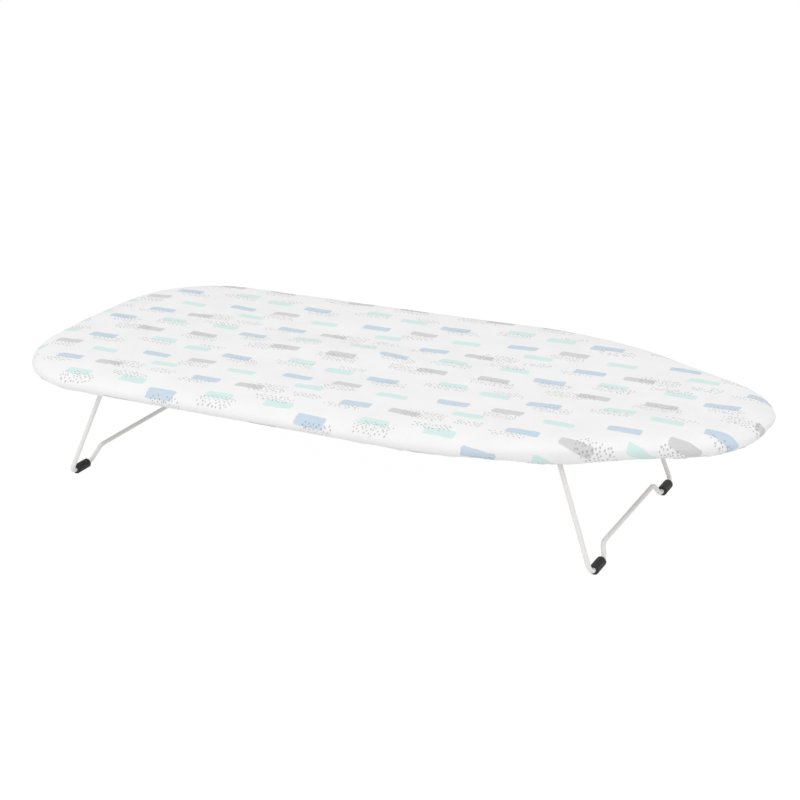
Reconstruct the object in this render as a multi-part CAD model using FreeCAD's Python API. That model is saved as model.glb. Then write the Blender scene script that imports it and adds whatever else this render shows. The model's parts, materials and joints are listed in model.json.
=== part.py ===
"""Table-top ironing board with two folding wire legs.

Units are millimetres.  The origin lies on the table, under the middle of the board.
+X points along the board to its rounded nose, +Y to its left side and +Z up.
The legs are modelled open, as the board stands in use.
"""
import FreeCAD, Part
import math
import os

# ---- driving dimensions ---------------------------------------------------------------

# Board: outline and height
BOARD_LENGTH = 730.0
BOARD_WIDTH = 310.0
BOARD_HEIGHT = 128.0         # table to ironing surface
BOARD_THICKNESS = 19.0       # from the ironing surface to the underside of the hem
NOSE_RADIUS = 87.0
TAPER_ANGLE = 26.5           # each tapering side against the board's long axis, degrees
SHOULDER_RADIUS = 355.0      # joins the parallel side to the tapering side
REAR_CORNER_RADIUS = 105.0
REAR_BULGE = 1.5             # how far the rear edge bows outward

# Board: layers, from the top down
CLOTH = 1.0                  # cover cloth
PAD = 5.0                    # foam pad
SHEET = 1.0                  # steel mesh sheet
TOP_EDGE_RADIUS = 6.8        # outside of the cloth
BOTTOM_EDGE_RADIUS = 11.0
HEM_WIDTH = 24.0             # how far the cloth turns in under the board
CORD_DIAMETER = 2.2          # elastic along the hem

# Steel frame under the sheet
RIM_DIAMETER = 10.0
RIM_WALL = 1.2
RIM_INSET = 8.5              # rim centreline, inward from the board's outline
CHANNEL_WIDTH = 30.0
CHANNEL_DEPTH = 8.0
CHANNEL_WALL = 1.2

# Openings in the mesh sheet: staggered diamonds
MESH_PITCH_X = 34.0
MESH_PITCH_Y = 15.0
MESH_OPENING_X = 26.0
MESH_OPENING_Y = 9.6
MESH_MARGIN = 20.0           # plain border, inward from the board's outline

# Legs: bent wire, pivoting on brackets under the channels
WIRE_DIAMETER = 4.4
PIVOT_HEIGHT = 107.0
FOOT_AXIS_HEIGHT = 4.5       # wire centre above the table
FOOT_SECTION = 32.0          # corner to corner, along Y
STUB_LENGTH = 19.0           # wire turned inward through the bracket
PIVOT_BEND = 6.0             # bend radii of the wire's centreline
FOOT_BEND = 6.5
RISER_BEND = 7.0
CROSSBAR_BEND = 9.0

# One entry a leg: pivot and foot places along X, half the spans at pivot and foot, and the
# step from the foot section to the crossbar, up the leg and inward along Y
LEGS = {
    "front": {
        "pivot_x": 210.0, "pivot_y": 95.5,
        "foot_x": 246.0, "foot_y": 105.0,
        "riser_height": 12.0, "riser_inset": 7.0,
    },
    "rear": {
        "pivot_x": -257.0, "pivot_y": 106.0,
        "foot_x": -304.0, "foot_y": 118.5,
        "riser_height": 16.5, "riser_inset": 10.0,
    },
}

# Foot sleeves
SLEEVE_DIAMETER = 9.4
SLEEVE_LENGTH = 19.0
SLEEVE_CHAMFER = 0.5
FLUTE_COUNT = 12
FLUTE_RADIUS = 0.5

# Pivot brackets, their rivets and the push-on caps of the wire ends
PLATE = 1.5
BRACKET_LENGTH_X = 24.0
BRACKET_LENGTH_Y = 24.0
EAR_SETBACK = 12.0           # from the side wire's axis inward to the ear's outer face
EAR_RADIUS = 5.5
STOP_START = 3.5             # stop tab, measured along the leg from the pivot
STOP_END = 8.0
STOP_REACH = 14.0            # stop tab, outward from the ear
STOP_GAP = 0.1
RIVET_DIAMETER = 4.0
RIVET_HEAD_DIAMETER = 6.8
RIVET_HEAD = 1.4
RIVET_SPACING = 14.0
RIVET_FROM_EAR = 15.0
CAP_DIAMETER = 8.0
CAP_LENGTH = 5.5
CAP_FLOOR = 1.2

TOLERANCE = 1e-6
CUT_OVERLAP = 1.0            # how far a cutting tool reaches past what it cuts
GAP = 0.05                   # between parts that touch
BORE_GAP = 0.02              # around wire, cord and rivets seated in holes
PIVOT_CLEARANCE = 0.08       # radial, wire in the bracket's hole

# ---- worked-out values ----------------------------------------------------------------

HALF_LENGTH = BOARD_LENGTH / 2
HALF_WIDTH = BOARD_WIDTH / 2
HEM_BOTTOM = BOARD_HEIGHT - BOARD_THICKNESS
PAD_TOP = BOARD_HEIGHT - CLOTH
SHEET_TOP = PAD_TOP - PAD
SHEET_BOTTOM = SHEET_TOP - SHEET
RIM_AXIS_Z = SHEET_BOTTOM - GAP - RIM_DIAMETER / 2
CHANNEL_BOTTOM = SHEET_BOTTOM - CHANNEL_DEPTH
WIRE_RADIUS = WIRE_DIAMETER / 2

ORIGIN = FreeCAD.Vector(0, 0, 0)
Y_AXIS = FreeCAD.Vector(0, 1, 0)


# ---- helpers --------------------------------------------------------------------------

def vector(x, y, z=0.0):
    return FreeCAD.Vector(x, y, z)


def box(x_range, y_range, z_range):
    size = [high - low for low, high in (x_range, y_range, z_range)]
    return Part.makeBox(*size, vector(x_range[0], y_range[0], z_range[0]))


def on_circle(centre, radius, angle):
    return centre + vector(radius * math.cos(angle), radius * math.sin(angle))


def arc(centre, radius, start, end):
    middle = (start + end) / 2
    points = [on_circle(centre, radius, angle) for angle in (start, middle, end)]
    return Part.Arc(*points).toShape()


def outline(inset=0.0):
    """The board's closed outline at z = 0, moved inward by inset.

    Every round stretch keeps its centre, so an inset only shortens the radii.
    """
    taper = math.radians(TAPER_ANGLE)
    side = math.pi / 2
    rear_half = HALF_WIDTH - REAR_CORNER_RADIUS
    rear_radius = (rear_half ** 2 + REAR_BULGE ** 2) / (2 * REAR_BULGE)
    rear_centre = vector(rear_radius - HALF_LENGTH, 0)
    corner_reach = math.sqrt((rear_radius - REAR_CORNER_RADIUS) ** 2 - rear_half ** 2)
    corner_x = rear_centre.x - corner_reach
    corner_angle = math.pi - math.atan2(rear_half, corner_reach)
    nose_x = HALF_LENGTH - NOSE_RADIUS
    # where the tapering side, drawn on, would meet the parallel side
    meeting_x = nose_x + (NOSE_RADIUS - HALF_WIDTH * math.cos(taper)) / math.sin(taper)
    shoulder_x = meeting_x - SHOULDER_RADIUS * math.tan(taper / 2)

    def half(sign):
        corner = vector(corner_x, sign * rear_half)
        shoulder = vector(shoulder_x, sign * (HALF_WIDTH - SHOULDER_RADIUS))
        nose = vector(nose_x, 0)
        corner_arc = arc(corner, REAR_CORNER_RADIUS - inset, sign * corner_angle, sign * side)
        shoulder_arc = arc(shoulder, SHOULDER_RADIUS - inset, sign * side, sign * (side - taper))
        straight = Part.makeLine(corner_arc.Vertexes[-1].Point, shoulder_arc.Vertexes[0].Point)
        nose_start = on_circle(nose, NOSE_RADIUS - inset, sign * (side - taper))
        tapering = Part.makeLine(shoulder_arc.Vertexes[-1].Point, nose_start)
        return [corner_arc, straight, shoulder_arc, tapering]

    nose_arc = arc(vector(nose_x, 0), NOSE_RADIUS - inset, side - taper, taper - side)
    rear_arc = arc(rear_centre, rear_radius - inset, corner_angle, 2 * math.pi - corner_angle)
    return Part.Wire(Part.__sortEdges__(half(1) + [nose_arc] + half(-1) + [rear_arc]))


def slab(inset, bottom, top):
    """A plate with the board's outline, moved inward by inset."""
    face = Part.Face(outline(inset))
    face.translate(vector(0, 0, bottom))
    return face.extrude(vector(0, 0, top - bottom))


def edges_at(solid, z):
    return [e for e in solid.Edges if all(abs(v.Z - z) < TOLERANCE for v in e.Vertexes)]


def rounded_slab(inset, bottom, top, bottom_radius, top_radius):
    solid = slab(inset, bottom, top)
    if top_radius:
        solid = solid.makeFillet(top_radius, edges_at(solid, top))
    if bottom_radius:
        solid = solid.makeFillet(bottom_radius, edges_at(solid, bottom))
    return solid


def ring_along(inset, z, radius):
    """A round bar of the given radius along the inset outline."""
    path = outline(inset)
    path.translate(vector(0, 0, z))
    start = path.Edges[0]
    point = start.valueAt(start.FirstParameter)
    tangent = start.tangentAt(start.FirstParameter)
    profile = Part.Wire(Part.makeCircle(radius, point, tangent))
    return path.makePipeShell([profile], True, True)


def rounded_path(corners, radii):
    """A wire through corners, with each inner corner rounded to its radius."""
    edges = []
    start = corners[0]
    for index, radius in enumerate(radii, start=1):
        corner = corners[index]
        back = (corners[index - 1] - corner).normalize()
        ahead = (corners[index + 1] - corner).normalize()
        half_angle = back.getAngle(ahead) / 2
        reach = radius / math.tan(half_angle)
        centre = corner + (back + ahead).normalize() * (radius / math.sin(half_angle))
        middle = centre + (corner - centre).normalize() * radius
        edges.append(Part.makeLine(start, corner + back * reach))
        edges.append(Part.Arc(corner + back * reach, middle, corner + ahead * reach).toShape())
        start = corner + ahead * reach
    edges.append(Part.makeLine(start, corners[-1]))
    return Part.Wire(edges)


def round_bar(path, radius):
    start = path.Edges[0]
    point = start.valueAt(start.FirstParameter)
    tangent = start.tangentAt(start.FirstParameter)
    profile = Part.Wire(Part.makeCircle(radius, point, tangent))
    return path.makePipeShell([profile], True, False)


def write(name, shape):
    shape.exportStep(f"parts/{name}.step")


# ---- board ----------------------------------------------------------------------------

def printed_cover():
    """Cloth over the pad and round the rim, turned in under the board as a hem."""
    outer = rounded_slab(0, HEM_BOTTOM, BOARD_HEIGHT, BOTTOM_EDGE_RADIUS, TOP_EDGE_RADIUS)
    inner = rounded_slab(
        CLOTH,
        HEM_BOTTOM + CLOTH,
        PAD_TOP,
        BOTTOM_EDGE_RADIUS - CLOTH,
        TOP_EDGE_RADIUS - CLOTH,
    )
    opening = slab(HEM_WIDTH, HEM_BOTTOM - CUT_OVERLAP, HEM_BOTTOM + CLOTH + CUT_OVERLAP)
    return outer.cut(inner).cut(opening)


def foam_pad():
    """Foam on the sheet, cut to the outline and rounded along its upper edge like the cloth."""
    inset = CLOTH + GAP
    bulk = rounded_slab(inset, HEM_BOTTOM, BOARD_HEIGHT - inset, 0, TOP_EDGE_RADIUS - inset)
    return bulk.common(slab(0, SHEET_TOP + GAP, BOARD_HEIGHT))


def elastic_cord():
    """Closed elastic loop that draws the hem in under the board."""
    inset = HEM_WIDTH + GAP + CORD_DIAMETER / 2
    return ring_along(inset, HEM_BOTTOM + GAP + CORD_DIAMETER / 2, CORD_DIAMETER / 2)


def mesh_openings():
    """Diamonds in staggered rows, clear of the border and of the two channels."""
    field = Part.Face(outline(MESH_MARGIN))
    half_x = MESH_OPENING_X / 2
    half_y = MESH_OPENING_Y / 2
    columns = int(HALF_LENGTH / MESH_PITCH_X) + 1
    rows = int(HALF_WIDTH / (MESH_PITCH_Y / 2)) + 1
    openings = []
    for row in range(-rows, rows + 1):
        stagger = MESH_PITCH_X / 2 if row % 2 else 0.0
        for column in range(-columns, columns + 1):
            x = column * MESH_PITCH_X + stagger
            y = row * MESH_PITCH_Y / 2
            tips = [(half_x, 0), (0, half_y), (-half_x, 0), (0, -half_y)]
            corners = [vector(x + dx, y + dy) for dx, dy in tips]
            over_channel = any(
                abs(x - leg["pivot_x"]) < CHANNEL_WIDTH / 2 + half_x for leg in LEGS.values()
            )
            inside = all(field.isInside(corner, TOLERANCE, True) for corner in corners)
            if inside and not over_channel:
                openings.append(Part.makePolygon(corners + corners[:1]))
    return openings


def mesh_sheet():
    """Steel sheet that carries the pad and lets steam through its openings."""
    wires = [outline(RIM_INSET)] + mesh_openings()
    face = Part.makeFace(wires, "Part::FaceMakerBullseye")
    face.translate(vector(0, 0, SHEET_BOTTOM))
    return face.extrude(vector(0, 0, SHEET))


def rim_tube():
    """Bent steel tube under the sheet's edge."""
    outer = ring_along(RIM_INSET, RIM_AXIS_Z, RIM_DIAMETER / 2)
    inner = ring_along(RIM_INSET, RIM_AXIS_Z, RIM_DIAMETER / 2 - RIM_WALL)
    return outer.cut(inner)


def cross_channel(leg):
    """Folded steel channel across the frame, open towards the sheet, over one leg's pivots."""
    x = LEGS[leg]["pivot_x"]
    outer_x = (x - CHANNEL_WIDTH / 2, x + CHANNEL_WIDTH / 2)
    inner_x = (outer_x[0] + CHANNEL_WALL, outer_x[1] - CHANNEL_WALL)
    across = (-HALF_WIDTH, HALF_WIDTH)
    top = SHEET_BOTTOM - GAP
    bar = box(outer_x, across, (CHANNEL_BOTTOM, top))
    bar = bar.cut(box(inner_x, across, (CHANNEL_BOTTOM + CHANNEL_WALL, top)))
    bar = bar.common(slab(RIM_INSET + RIM_DIAMETER / 2 + GAP, CHANNEL_BOTTOM, top))
    for x, y in rivet_places(leg):
        bar = bar.cut(rivet_hole(x, y, CHANNEL_BOTTOM, CHANNEL_WALL))
    return bar


def rivet_hole(x, y, bottom, thickness):
    """Cutting tool for a rivet's hole through a plate."""
    length = thickness + 2 * CUT_OVERLAP
    return Part.makeCylinder(RIVET_DIAMETER / 2 + BORE_GAP, length, vector(x, y, bottom - CUT_OVERLAP))


# ---- pivot brackets -------------------------------------------------------------------

def ear_y(leg):
    """The ear's outer face on the left side."""
    return LEGS[leg]["pivot_y"] - EAR_SETBACK


def rivet_places(leg):
    """Rivet axes of both brackets of one leg, as (x, y)."""
    across = ear_y(leg) - RIVET_FROM_EAR
    along = LEGS[leg]["pivot_x"]
    half = RIVET_SPACING / 2
    return [(along + dx, side * across) for side in (1, -1) for dx in (-half, half)]


def splay(leg):
    """Angle of the open leg from straight down, positive towards the nose."""
    run = LEGS[leg]["foot_x"] - LEGS[leg]["pivot_x"]
    return math.atan2(run, PIVOT_HEIGHT - FOOT_AXIS_HEIGHT)


def at_pivot(shape, leg):
    """Turns a shape that hangs straight down from the origin to the open leg's direction."""
    shape.rotate(ORIGIN, Y_AXIS, -math.degrees(splay(leg)))
    shape.translate(vector(LEGS[leg]["pivot_x"], 0, PIVOT_HEIGHT))
    return shape


def pivot_bracket(leg, side):
    """Stamped bracket: plate under the channel, ear with the pivot hole, and a stop tab."""
    x = LEGS[leg]["pivot_x"]
    outward = 1 if splay(leg) > 0 else -1
    plate_top = CHANNEL_BOTTOM - GAP
    plate_bottom = plate_top - PLATE
    outer = ear_y(leg)
    half_x = BRACKET_LENGTH_X / 2
    ear_span = (outer - PLATE, outer)
    plate = box(
        (x - half_x, x + half_x), (outer - BRACKET_LENGTH_Y, outer), (plate_bottom, plate_top)
    )
    neck = box((x - EAR_RADIUS, x + EAR_RADIUS), ear_span, (PIVOT_HEIGHT, plate_top))
    eye = Part.makeCylinder(EAR_RADIUS, PLATE, vector(x, ear_span[0], PIVOT_HEIGHT), Y_AXIS)
    # along the hanging leg: the arm carries the stop tab down beside the side wire
    stop_face = WIRE_RADIUS + STOP_GAP
    across_leg = sorted([outward * stop_face, outward * (stop_face + PLATE)])
    arm_across = sorted([-outward * WIRE_RADIUS, outward * (stop_face + PLATE)])
    tab_span = (ear_span[0], outer + STOP_REACH)
    arm = at_pivot(box(arm_across, ear_span, (-STOP_END, 0)), leg)
    tab = at_pivot(box(across_leg, tab_span, (-STOP_END, -STOP_START)), leg)
    bracket = plate.fuse([neck, eye, arm, tab]).removeSplitter()
    bore = Part.makeCylinder(
        WIRE_RADIUS + PIVOT_CLEARANCE,
        PLATE + 2 * CUT_OVERLAP,
        vector(x, ear_span[0] - CUT_OVERLAP, PIVOT_HEIGHT),
        Y_AXIS,
    )
    bracket = bracket.cut(bore)
    for rivet_x, rivet_y in rivet_places(leg):
        if rivet_y > 0:
            bracket = bracket.cut(rivet_hole(rivet_x, rivet_y, plate_bottom, PLATE))
    return on_side(bracket, side)


def on_side(shape, side):
    """Shapes are drawn for the left side; the right one is the mirror image."""
    return shape if side == "left" else shape.mirror(ORIGIN, Y_AXIS)


def bracket_rivets():
    """Domed rivets through bracket plates and channels, all alike."""
    head_bottom = CHANNEL_BOTTOM - 2 * GAP - PLATE
    web_top = CHANNEL_BOTTOM + CHANNEL_WALL + GAP
    rivets = []
    for leg in LEGS:
        for x, y in rivet_places(leg):
            shank = Part.makeCylinder(
                RIVET_DIAMETER / 2, web_top - head_bottom, vector(x, y, head_bottom)
            )
            heads = [rivet_head(x, y, head_bottom, -1), rivet_head(x, y, web_top, 1)]
            rivets.append(shank.fuse(heads))
    return Part.makeCompound(rivets)


def rivet_head(x, y, z, direction):
    """A shallow dome on the plane z, rising in direction (1 up, -1 down)."""
    half = RIVET_HEAD_DIAMETER / 2
    radius = (half ** 2 + RIVET_HEAD ** 2) / (2 * RIVET_HEAD)
    ball = Part.makeSphere(radius, vector(x, y, z + direction * (RIVET_HEAD - radius)))
    z_range = sorted([z, z + direction * RIVET_HEAD])
    return ball.common(box((x - half, x + half), (y - half, y + half), z_range))


# ---- legs -----------------------------------------------------------------------------

def leg_length(leg):
    run = LEGS[leg]["foot_x"] - LEGS[leg]["pivot_x"]
    return math.hypot(run, PIVOT_HEIGHT - FOOT_AXIS_HEIGHT)


def leg_wire(leg):
    """One bent wire: stub, side wire, foot section, riser and crossbar, then the same back."""
    pivot_y = LEGS[leg]["pivot_y"]
    foot_y = LEGS[leg]["foot_y"]
    reach = leg_length(leg)
    riser_y = foot_y - FOOT_SECTION
    left = [
        (pivot_y - STUB_LENGTH, 0),
        (pivot_y, 0),
        (foot_y, -reach),
        (riser_y, -reach),
        (riser_y - LEGS[leg]["riser_inset"], LEGS[leg]["riser_height"] - reach),
    ]
    right = [(-y, z) for y, z in reversed(left)]
    corners = [vector(0, y, z) for y, z in left + right]
    bends = [PIVOT_BEND, FOOT_BEND, RISER_BEND, CROSSBAR_BEND]
    path = rounded_path(corners, bends + bends[::-1])
    return at_pivot(round_bar(path, WIRE_RADIUS), leg)


def sleeve_start(leg):
    """Y of the sleeve's outer end, where the foot section turns straight."""
    lean = math.atan2(LEGS[leg]["foot_y"] - LEGS[leg]["pivot_y"], leg_length(leg))
    turn = math.pi / 2 + lean
    return LEGS[leg]["foot_y"] - FOOT_BEND * math.tan(turn / 2)


def foot_sleeve(leg, side):
    """Fluted plastic sleeve on the foot section, with a small flat sole on the table."""
    x = LEGS[leg]["foot_x"]
    radius = SLEEVE_DIAMETER / 2
    start = sleeve_start(leg) - GAP
    base = vector(x, start - SLEEVE_LENGTH, FOOT_AXIS_HEIGHT)
    sleeve = Part.makeCylinder(radius, SLEEVE_LENGTH, base, Y_AXIS)
    rims = [e for e in sleeve.Edges if isinstance(e.Curve, Part.Circle)]
    sleeve = sleeve.makeChamfer(SLEEVE_CHAMFER, rims)
    bore = Part.makeCylinder(WIRE_RADIUS + BORE_GAP, SLEEVE_LENGTH, base, Y_AXIS)
    flutes = []
    for index in range(FLUTE_COUNT):
        # the sole lies midway between two flutes
        angle = math.radians((index + 0.5) * 360.0 / FLUTE_COUNT) - math.pi / 2
        place = base + vector(radius * math.cos(angle), 0, radius * math.sin(angle))
        flutes.append(Part.makeCylinder(FLUTE_RADIUS, SLEEVE_LENGTH, place, Y_AXIS))
    below_table = box((x - radius, x + radius), (start - SLEEVE_LENGTH, start), (-radius, 0))
    return on_side(sleeve.cut([bore, below_table] + flutes), side)


def wire_cap(leg, side):
    """Push-on cap that keeps the wire's end in its bracket."""
    x = LEGS[leg]["pivot_x"]
    wire_end = LEGS[leg]["pivot_y"] - STUB_LENGTH
    closed_end = wire_end - CAP_FLOOR - GAP
    base = vector(x, closed_end, PIVOT_HEIGHT)
    body = Part.makeCylinder(CAP_DIAMETER / 2, CAP_LENGTH, base, Y_AXIS)
    rim = [e for e in body.Edges if all(abs(v.Y - closed_end) < TOLERANCE for v in e.Vertexes)]
    body = body.makeFillet(CAP_FLOOR, rim)
    bore = Part.makeCylinder(
        WIRE_RADIUS + BORE_GAP, CAP_LENGTH, vector(x, wire_end - GAP, PIVOT_HEIGHT), Y_AXIS
    )
    return on_side(body.cut(bore), side)


# ---- all parts ------------------------------------------------------------------------

def main():
    os.makedirs("parts", exist_ok=True)
    write("printed_cover", printed_cover())
    write("foam_pad", foam_pad())
    write("elastic_cord", elastic_cord())
    write("mesh_sheet", mesh_sheet())
    write("rim_tube", rim_tube())
    write("bracket_rivets", bracket_rivets())
    for leg in LEGS:
        write(f"{leg}_cross_channel", cross_channel(leg))
        write(f"{leg}_leg_wire", leg_wire(leg))
        for side in ("left", "right"):
            write(f"{leg}_{side}_bracket", pivot_bracket(leg, side))
            write(f"{leg}_{side}_foot_sleeve", foot_sleeve(leg, side))
            write(f"{leg}_{side}_wire_cap", wire_cap(leg, side))


main()
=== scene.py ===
"""Looks of a table-top ironing board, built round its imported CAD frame.

Lengths are in metres, in the frame's own axes: +X to the nose, +Y to the left side, +Z up.
"""

import json
import math
from collections import Counter

import bpy
import numpy as np
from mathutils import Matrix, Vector
from mathutils.bvhtree import BVHTree
from mathutils.geometry import delaunay_2d_cdt


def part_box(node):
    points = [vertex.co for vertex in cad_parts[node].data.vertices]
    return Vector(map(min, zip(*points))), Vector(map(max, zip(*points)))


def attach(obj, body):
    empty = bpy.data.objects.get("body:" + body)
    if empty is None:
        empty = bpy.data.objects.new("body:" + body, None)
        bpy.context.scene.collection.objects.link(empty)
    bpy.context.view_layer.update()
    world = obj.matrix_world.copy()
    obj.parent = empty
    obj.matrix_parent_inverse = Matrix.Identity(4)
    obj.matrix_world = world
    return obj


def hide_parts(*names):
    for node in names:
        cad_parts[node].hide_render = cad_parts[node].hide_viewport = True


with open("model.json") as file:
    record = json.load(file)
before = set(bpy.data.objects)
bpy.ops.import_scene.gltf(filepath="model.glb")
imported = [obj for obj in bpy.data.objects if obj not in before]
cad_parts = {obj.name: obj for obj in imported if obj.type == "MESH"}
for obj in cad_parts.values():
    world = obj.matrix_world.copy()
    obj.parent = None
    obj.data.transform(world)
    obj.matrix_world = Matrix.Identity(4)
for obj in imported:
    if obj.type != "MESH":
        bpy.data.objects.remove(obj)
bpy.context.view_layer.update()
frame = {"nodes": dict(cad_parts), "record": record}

MM = 0.001

# ---- the board, as the frame gives it ---------------------------------------------------

COVER_LOW, COVER_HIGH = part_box("printed_cover")
PAD_LOW, PAD_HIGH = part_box("foam_pad")
CORD_LOW, CORD_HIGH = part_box("elastic_cord")
BOARD_TOP = COVER_HIGH.z
HALF_WIDTH = COVER_HIGH.y
CORD_RADIUS = (CORD_HIGH.z - CORD_LOW.z) / 2
CORD_HEIGHT = (CORD_HIGH.z + CORD_LOW.z) / 2
CORD_INSET = COVER_HIGH.y - CORD_HIGH.y + CORD_RADIUS

# ---- cloth cover ------------------------------------------------------------------------

AROUND = 760                  # points round the outline
OUTLINE_BLUR = 6 * MM
CLOTH_THICKNESS = 0.5 * MM
# Section of the cover's edge, (inward from the outline, down from the top) in millimetres:
# crisp on the left side, and softer along the right side
LEFT_SECTION = [
    (40, 0.0), (28, 0.1), (19, 0.4), (12, 1.1), (6.5, 2.9), (2.2, 6.2),
    (0.2, 10.5), (1.6, 14.8), (6.0, 17.9), (12, 18.9), (23.5, 18.9),
]
RIGHT_SECTION = [
    (40, 0.2), (28, 1.0), (19, 2.2), (12, 3.7), (6.5, 5.9), (2.4, 8.4),
    (0.4, 11.8), (1.6, 15.2), (6.0, 18.1), (12, 19.1), (23.5, 18.9),
]
EDGE_RINGS = 30
ROLL_START = LEFT_SECTION[0][0] * MM
INNER_RINGS = 20              # rings from there to the board's middle line
# Halves of the edge: down from the top, inward from the outline, and how fast each fades
LOWER_START = 7 * MM
UPPER_END = 10 * MM
HEM_FLAT = 15 * MM
HALF_BLEND = 8 * MM
# Along X: where the nose shape of the edge starts, and where the soft right section ends
NOSE_START = 100 * MM
RIGHT_END = 120 * MM
NOSE_BLEND = 120 * MM
PLUMP_BLEND = 200 * MM
FACING_BLEND = 0.3            # sideways part of the outline's normal, for a side's full effect
FACING_SIDE = 0.9             # and from here on the outline counts as straight
NOSE_TUCK = 2.4 * MM          # the cloth is pulled in tighter under the nose
NOSE_LIFT = 0.9 * MM          # and its lower edge lies a little higher there
LEFT_PLUMP = 2.8 * MM         # the padding stands out a little on the left side of the nose
SAG_PLACE = 225 * MM          # the hem hangs lowest here, beside the right front leg
SAG_REACH = 40 * MM
SAG_DEPTH = 4.2 * MM
UNEVENNESS = 0.35 * MM
# Swells and hollows of the padded top, in millimetres: middle, reach and height
SWELLS = [
    (-35, 5, 60, 20, 2.6),
    (-110, -12, 40, 20, 1.5),
    (-55, 48, 110, 26, -2.0),
    (-60, -50, 110, 16, -1.2),
    (0, -90, 90, 22, 1.0),
    (115, -88, 50, 22, -1.6),
    (160, -5, 60, 25, -1.6),
    (270, -10, 45, 16, -1.2),
    (160, 95, 70, 32, 1.6),
    (275, -50, 40, 20, 2.0),
    (-300, 90, 45, 35, 1.2),
]
GATHER_PITCH = 11 * MM        # hem gathers, along the elastic
GATHER_DEPTH = 1.3 * MM
GATHER_START = 0.62           # share of the way round the edge where they begin
# Simulated folds: they show from FOLD_START and are full after FOLD_BLEND, shares of the same way
FOLD_START = 0.66
FOLD_BLEND = 0.25
FOLD_CAP = 2.0 * MM           # no fold is deeper than this
LONGEST_FOLD = 45 * MM        # longer waves are taken out again
RIM_GAP = 0.5 * MM            # room between the hem and the rim tube above it
SETTLE_FRAMES = 20
CLOTH_CLEARANCE = 1.0 * MM    # smallest collision distance that the simulation takes
CORE_GAP = 1.0 * MM           # how far the simulation's board lies inside the cover

# ---- hem and foam -----------------------------------------------------------------------

BINDING_RADIUS = 1.9 * MM
BINDING_GAP = 40 * MM         # the tunnel is open at the rear for this length
STITCH_PITCH = 3.6 * MM
STITCH_SETBACK = 4.5 * MM     # from the elastic outwards
STITCH_STEP = 1 * MM          # a stitch isn't made where the cloth jumps by more
THREAD_RADIUS = 0.3 * MM
FOAM_GRID = 3.2 * MM
FOAM_GAP = 1.2 * MM           # between the foam and the cover's outer face
FOAM_EDGE = 1.0 * MM          # thickness of the foam at its rim
FOAM_SWELL = 0.5 * MM         # how far it bulges into the sheet's openings

# ---- print ------------------------------------------------------------------------------

REPEAT = (160 * MM, 153 * MM)
SIDE_STRETCH = 1.4            # the cloth is pulled this much longer round the edge
PRINT_TURN = 9 * MM           # how far in from the outline that pull begins
PRINT_SLIP = 3.8 * MM         # the print has slipped outwards along the right edge
PRINT_BLEND = 80 * MM         # length along X over which the right edge's print changes fade
SLIP_START = 112 * MM         # from the board's long axis
SLIP_BLEND = 28 * MM
# Just past the turn of the right edge the cloth holds this much more print to its length
HEM_GATHER = 1.5
HEM_GATHER_START = 3.5 * MM
HEM_GATHER_LENGTH = 3.5 * MM
INKS = {"blue": (0.545, 0.645, 0.74), "mint": (0.63, 0.79, 0.76), "grey": (0.62, 0.62, 0.62)}
# One repeat of the print: ink, middle and size of each brush dash, in millimetres
DASHES = [
    ("blue", 19, -50, 31, 10.5),
    ("mint", 85, -37, 28, 9),
    ("mint", 130, -45, 29, 9.5),
    ("grey", 51, -13, 30, 10),
    ("grey", 112, -9, 30, 10),
    ("blue", 0, 8, 30, 9.5),
    ("mint", 58, 18, 28, 9),
    ("mint", 120, 20, 29, 9),
    ("blue", 26, 41, 30, 9.5),
    ("grey", 74, 41, 29, 9),
    ("mint", 47, 69, 29, 8.5),
    ("mint", 127, 58, 29, 8.5),
    ("blue", 103, 78, 30, 9.5),
    ("grey", 156, 78, 29, 9),
]
# Patches of small dots in the same repeat: middle and size, in millimetres
SPECKLES = [
    (30, -57, 38, 13),
    (31, -16, 48, 16),
    (112, -16, 44, 16),
    (8, 1, 34, 13),
    (60, 11, 40, 14),
    (92, 43, 42, 17),
    (154, 68, 36, 12),
    (135, 41, 30, 9),
    (16, 34, 36, 7),
    (110, 27, 42, 9),
    (80, -44, 44, 11),
    (140, -36, 30, 8),
]
DOT_PITCH = (4.9 * MM, 4.2 * MM)   # dots stand in staggered rows, half of this apart
DOT_RADIUS = 0.80 * MM
DOT_SCATTER = 0.55            # how far dots stray from their rows, 1 being all the way
DOT_EDGE = 0.15 * MM          # softness of a dot's edge
DOT_INK = (0.20, 0.20, 0.21)
DOT_COVER = 0.50
DASH_CORNER = 2.2             # corner radius and edge softness of a dash, in millimetres
DASH_EDGE = 0.2
DASH_BOW = 0.5 * MM           # dashes bow up and down by this much, in waves along X
BOW_WAVES = 90                # radians a metre
THREAD_PITCH = 0.62 * MM      # over and under of the cover's weave

# ---- light ------------------------------------------------------------------------------

# Round lamps that all aim at the board: place, size and watts
LIGHTS = {
    "key": ((1.7, -1.1, 1.45), 1.4, 14),
    "fill": ((-1.0, -1.1, 0.9), 1.2, 6.5),
    "top": ((0.1, 0.3, 2.2), 1.8, 12.5),
}
WORLD_STRENGTH = 0.60
FLOOR_GLOW = 0.42             # share of the floor's own glow in what lights the board
FLOOR_GLOW_SEEN = 0.94        # and in what the camera sees
FLOOR_HALF = 15.0

# ---- camera -----------------------------------------------------------------------------

AIM = Vector((0.0581, -0.0901, 0.1290))
DISTANCE = 1.40
AZIMUTH = 28.51               # from straight in front, towards the nose, degrees
ELEVATION = 21.42
ROLL = -1.80                  # degrees
LENS = 71.09                  # millimetres, on a 36 mm sensor


# ---- mesh helpers -----------------------------------------------------------------------

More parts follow.
